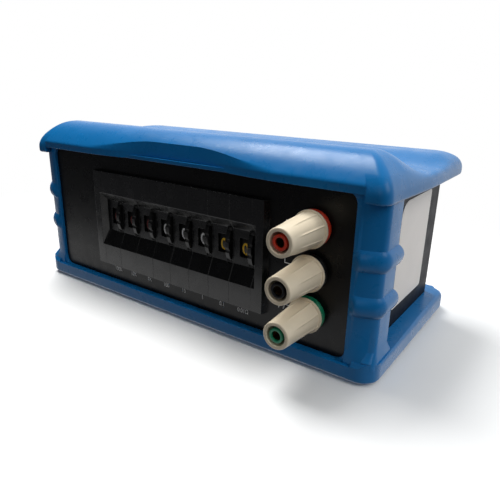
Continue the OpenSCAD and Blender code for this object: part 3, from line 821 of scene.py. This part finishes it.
def on_tray_rim(point, high):
    """Whether a point lies on the outer edge of the base cover's top, at the sides or the rear."""
    to_side, to_rear = (high.x - abs(point.x)) / MM, (high.y - point.y) / MM
    outside = to_side < NEAR or to_rear < NEAR
    in_corner = (to_side < TRAY_CORNER and to_rear < TRAY_CORNER
                 and abs(point.x) / MM > TRAY_CORNER_X)
    return abs(point.z - high.z) / MM < NEAR and (outside or in_corner)


def other_pieces():
    """The dressed pieces, and a finish for each CAD node."""
    dressed("base_cover", 0.7, 3, rim=on_tray_rim)
    for node, width in EDGES.items():
        dressed(node, width)
    for side in ("left", "right"):
        dressed(f"bank_end_{side}", 0.25, sharp=BANK_FOLD)
    for k in DECADES:
        dressed(f"housing_{k}", 0.18, sharp=BANK_FOLD)
        dressed(f"wheel_{k}", 0.15)
    for node, made in frame["nodes"].items():
        made.data.materials.clear()
        made.data.materials.append(LOOKS[SLOT_OF[node]])


# Studio, in metres; a pair of numbers tells where white starts and where it is full

FLOOR_HALF = 3.0
FLOOR_DULL = linear(80, 80, 82)
FLOOR_TONES = (linear(248, 248, 247), linear(252, 252, 251))
FLOOR_GRAIN = 400
FLOOR_NARROW = 0.75
FLOOR_FAR = (0.09, 0.26)
FLOOR_MIRROR_Y = (-0.12, -0.07)
FLOOR_MIRROR_X = (-0.35, -0.15)
SKY_TINT = (0.92, 0.96, 1.0, 1)
SKY_WAY = (0.35, 0.75, 0.56)
SKY_RANGE = (0.0, 0.9)
SKY_STRENGTH = (0.03, 0.7)
SKY_MIRROR_Y = (0.1, 0.6)
# Each lamp's place, target, size and power
LAMPS = {
    "key": ((-0.36, 0.12, 0.95), (0, 0, 0.06), 0.45, 11),
    "right": ((0.85, -0.1, 0.75), (0.05, 0, 0.05), 0.6, 3.5),
    "rear": ((0.6, 0.75, 0.28), (0.05, 0, 0.05), 0.7, 0.5),
    "front": ((0.1, -0.9, 0.5), (0, 0, 0.05), 0.6, 0.9),
}
# The camera's place in millimetres, its turns in radians, and its focal length for a picture width
CAMERA_PLACE = (165.99, -169.44, 116.35)
CAMERA_TURNS = (0.618, 0.330, 0.020)
SENSOR_W = 36
FOCAL_PX = 487
PICTURE_PX = 500


def white_to(tree, direct, mirrored):
    """How much white a ray sees: one share straight from the camera, another when mirrored."""
    path = tree.nodes.new("ShaderNodeLightPath")
    rays = maths(tree, "MAXIMUM", path.outputs["Is Glossy Ray"],
                 path.outputs["Is Transmission Ray"])
    seen = maths(tree, "MULTIPLY", path.outputs["Is Camera Ray"], direct)
    return maths(tree, "MAXIMUM", seen, maths(tree, "MULTIPLY", rays, mirrored))


def floor_material():
    """White where seen or mirrored, with the shadow near the object; dull to the lamps' light."""
    made, tree, target = shader("floor")
    spot = tree.nodes.new("ShaderNodeNewGeometry")
    parts = tree.nodes.new("ShaderNodeSeparateXYZ")
    tree.links.new(spot.outputs["Position"], parts.inputs["Vector"])
    along = maths(tree, "MULTIPLY", parts.outputs["X"], FLOOR_NARROW)
    away = maths(tree, "SQRT", maths(tree, "ADD", maths(tree, "POWER", along, 2),
                                     maths(tree, "POWER", parts.outputs["Y"], 2)))
    behind = maths(tree, "MULTIPLY", ranged(tree, parts.outputs["Y"], 0.0, 1.0, *FLOOR_MIRROR_Y),
                   ranged(tree, parts.outputs["X"], 0.0, 1.0, *FLOOR_MIRROR_X))
    tone = mixed(tree, noise(tree, FLOOR_GRAIN), *FLOOR_TONES)
    body = mixed(tree, white_to(tree, 1.0, behind), FLOOR_DULL, tone)
    tree.links.new(body, target.inputs["Base Color"])
    target.inputs["Roughness"].default_value = 0.9
    target.inputs["Specular IOR Level"].default_value = 0.1
    glow = tree.nodes.new("ShaderNodeEmission")
    glow.inputs["Strength"].default_value = 1.0
    join = tree.nodes.new("ShaderNodeMixShader")
    far = ranged(tree, away, 0.0, 1.0, *FLOOR_FAR)
    tree.links.new(white_to(tree, far, behind), join.inputs["Fac"])
    tree.links.new(target.outputs["BSDF"], join.inputs[1])
    tree.links.new(glow.outputs["Emission"], join.inputs[2])
    tree.links.new(join.outputs["Shader"], tree.nodes["Material Output"].inputs["Surface"])
    return made


def floor():
    """A wide flat floor under the object."""
    mesh = bpy.data.meshes.new("floor")
    signs = ((-1, -1), (1, -1), (1, 1), (-1, 1))
    corners = [(sx * FLOOR_HALF, sy * FLOOR_HALF, 0) for sx, sy in signs]
    mesh.from_pydata(corners, [], [(0, 1, 2, 3)])
    mesh.materials.append(floor_material())
    ground = bpy.data.objects.new("floor", mesh)
    bpy.context.scene.collection.objects.link(ground)


def sky():
    """A world that lights from above and behind, and is white where seen or mirrored."""
    world = bpy.data.worlds.new("studio")
    bpy.context.scene.world = world
    world.use_nodes = True
    tree = world.node_tree
    way = tree.nodes.new("ShaderNodeTexCoord").outputs["Generated"]
    parts = tree.nodes.new("ShaderNodeSeparateXYZ")
    tree.links.new(way, parts.inputs["Vector"])
    bright = tree.nodes.new("ShaderNodeVectorMath")
    bright.operation = "DOT_PRODUCT"
    bright.inputs[1].default_value = SKY_WAY
    tree.links.new(way, bright.inputs[0])
    lit = tree.nodes["Background"]
    lit.inputs["Color"].default_value = SKY_TINT
    strength = ranged(tree, bright.outputs["Value"], *SKY_STRENGTH, *SKY_RANGE)
    tree.links.new(strength, lit.inputs["Strength"])
    seen = tree.nodes.new("ShaderNodeBackground")
    seen.inputs["Color"].default_value = (1, 1, 1, 1)
    choice = tree.nodes.new("ShaderNodeMixShader")
    behind = ranged(tree, parts.outputs["Y"], 0.0, 1.0, *SKY_MIRROR_Y)
    tree.links.new(white_to(tree, 1.0, behind), choice.inputs["Fac"])
    tree.links.new(lit.outputs["Background"], choice.inputs[1])
    tree.links.new(seen.outputs["Background"], choice.inputs[2])
    tree.links.new(choice.outputs["Shader"], tree.nodes["World Output"].inputs["Surface"])


def lamp(name, place, target, size, power):
    """A square soft light at a place, facing a target."""
    light = bpy.data.lights.new(name, "AREA")
    light.size = size
    light.energy = power
    made = bpy.data.objects.new(name, light)
    made.location = place
    made.rotation_euler = (Vector(target) - Vector(place)).to_track_quat("-Z", "Y").to_euler()
    bpy.context.scene.collection.objects.link(made)


def camera():
    """The photograph's view, from where its edges meet in perspective."""
    yaw, pitch, roll = CAMERA_TURNS
    level = math.cos(pitch)
    ahead = Vector((-math.sin(yaw) * level, math.cos(yaw) * level, -math.sin(pitch)))
    right = Vector((math.cos(yaw), math.sin(yaw), 0))
    up = right.cross(ahead)
    across = right * math.cos(roll) + up * math.sin(roll)
    upward = up * math.cos(roll) - right * math.sin(roll)
    lens = bpy.data.cameras.new("camera")
    lens.sensor_width = SENSOR_W
    lens.lens = SENSOR_W * FOCAL_PX / PICTURE_PX
    lens.clip_start = 0.01
    made = bpy.data.objects.new("camera", lens)
    turn = Matrix((across, upward, -ahead)).transposed().to_4x4()
    made.matrix_world = Matrix.Translation(at(*CAMERA_PLACE)) @ turn
    bpy.context.scene.collection.objects.link(made)
    bpy.context.scene.camera = made


bpy.context.scene.view_settings.view_transform = "Standard"
camera()
floor()
sky()
for lamp_name, settings in LAMPS.items():
    lamp(lamp_name, *settings)
top_cover()
front_bezel()
for post in POSTS:
    terminal(post)
legends()
terminal_marks()
digits()
side_label()
other_pieces()

bpy.context.view_layer.update()
